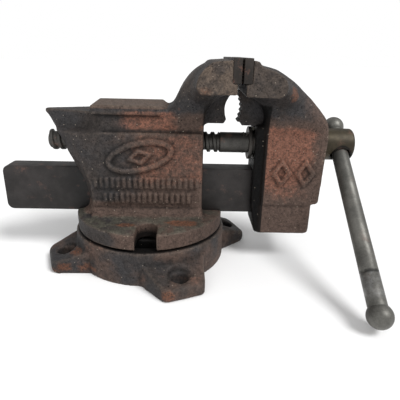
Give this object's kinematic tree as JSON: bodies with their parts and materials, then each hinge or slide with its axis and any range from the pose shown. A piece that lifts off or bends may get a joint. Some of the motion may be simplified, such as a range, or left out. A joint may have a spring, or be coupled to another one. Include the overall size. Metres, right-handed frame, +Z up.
{
  "type": "bench vise",
  "caption": "Machinist's bench vise on a swivel base, with flat and pipe jaws, an anvil pad with a horn, a flat guide bar and a sliding screw handle.",
  "frame": {"origin": "centre of the swivel base's underside, on the bench", "axes": "+X along the lead screw towards the handle, +Y across the jaws, +Z up"},
  "size_m": [0.2646, 0.1918, 0.1523],
  "materials": {
    "base_casting": "rough rusty casting",
    "body_casting": "rough rusty casting",
    "jaw_casting": "rough rusty casting",
    "guide_steel": "dark oiled",
    "screw_steel": "dark oiled",
    "handle_steel": "worn satin",
    "spring_steel": "dull",
    "fastener_steel": "dull",
    "plate_steel": "worn dull",
    "pipe_jaw_iron": "rough",
    "nut_iron": "machined"
  },
  "bodies": {
    "base": {"swivel_base": "base_casting"},
    "body": {"vise_body": "body_casting", "screw_nut": "nut_iron", "nut_set_screw": "fastener_steel", "fixed_jaw_plate": "plate_steel", "fixed_jaw_plate_screws": "fastener_steel", "fixed_pipe_jaw": "pipe_jaw_iron", "pivot_bolt": "fastener_steel", "pivot_washer": "fastener_steel", "pivot_nut": "fastener_steel", "lock_bolt": "fastener_steel", "lock_washer": "fastener_steel", "lock_nut": "fastener_steel"},
    "slide": {"moving_jaw": "jaw_casting", "slide_bar": "guide_steel", "slide_bar_screws": "fastener_steel", "moving_jaw_plate": "plate_steel", "moving_jaw_plate_screws": "fastener_steel", "moving_pipe_jaw": "pipe_jaw_iron", "retaining_spring": "spring_steel"},
    "screw": {"lead_screw": "screw_steel", "retaining_washer": "fastener_steel", "cotter_pin": "spring_steel"},
    "handle": {"tommy_bar": "handle_steel", "handle_ball_upper": "handle_steel", "handle_ball_lower": "handle_steel"}
  },
  "joints": [
    {"name": "swivel", "type": "hinge", "parent": "base", "child": "body", "pos_m": [0, 0, 0.0253], "axis": [0, 0, 1], "continuous": true},
    {"name": "jaw_slide", "type": "slide", "parent": "body", "child": "slide", "axis": [1, 0, 0], "range_m": [0, 0.075]},
    {"name": "screw_turn", "type": "hinge", "parent": "slide", "child": "screw", "pos_m": [0.1, 0, 0.0911], "axis": [1, 0, 0], "range_deg": [0, 4905]},
    {"name": "bar_slide", "type": "slide", "parent": "screw", "child": "handle", "axis": [0, 0.7965, 0.6046], "range_m": [0, 0.113]}
  ],
  "couplings": [
    {"joint": "jaw_slide", "follows": "screw_turn", "m_per_rad": 0.00087535}
  ]
}
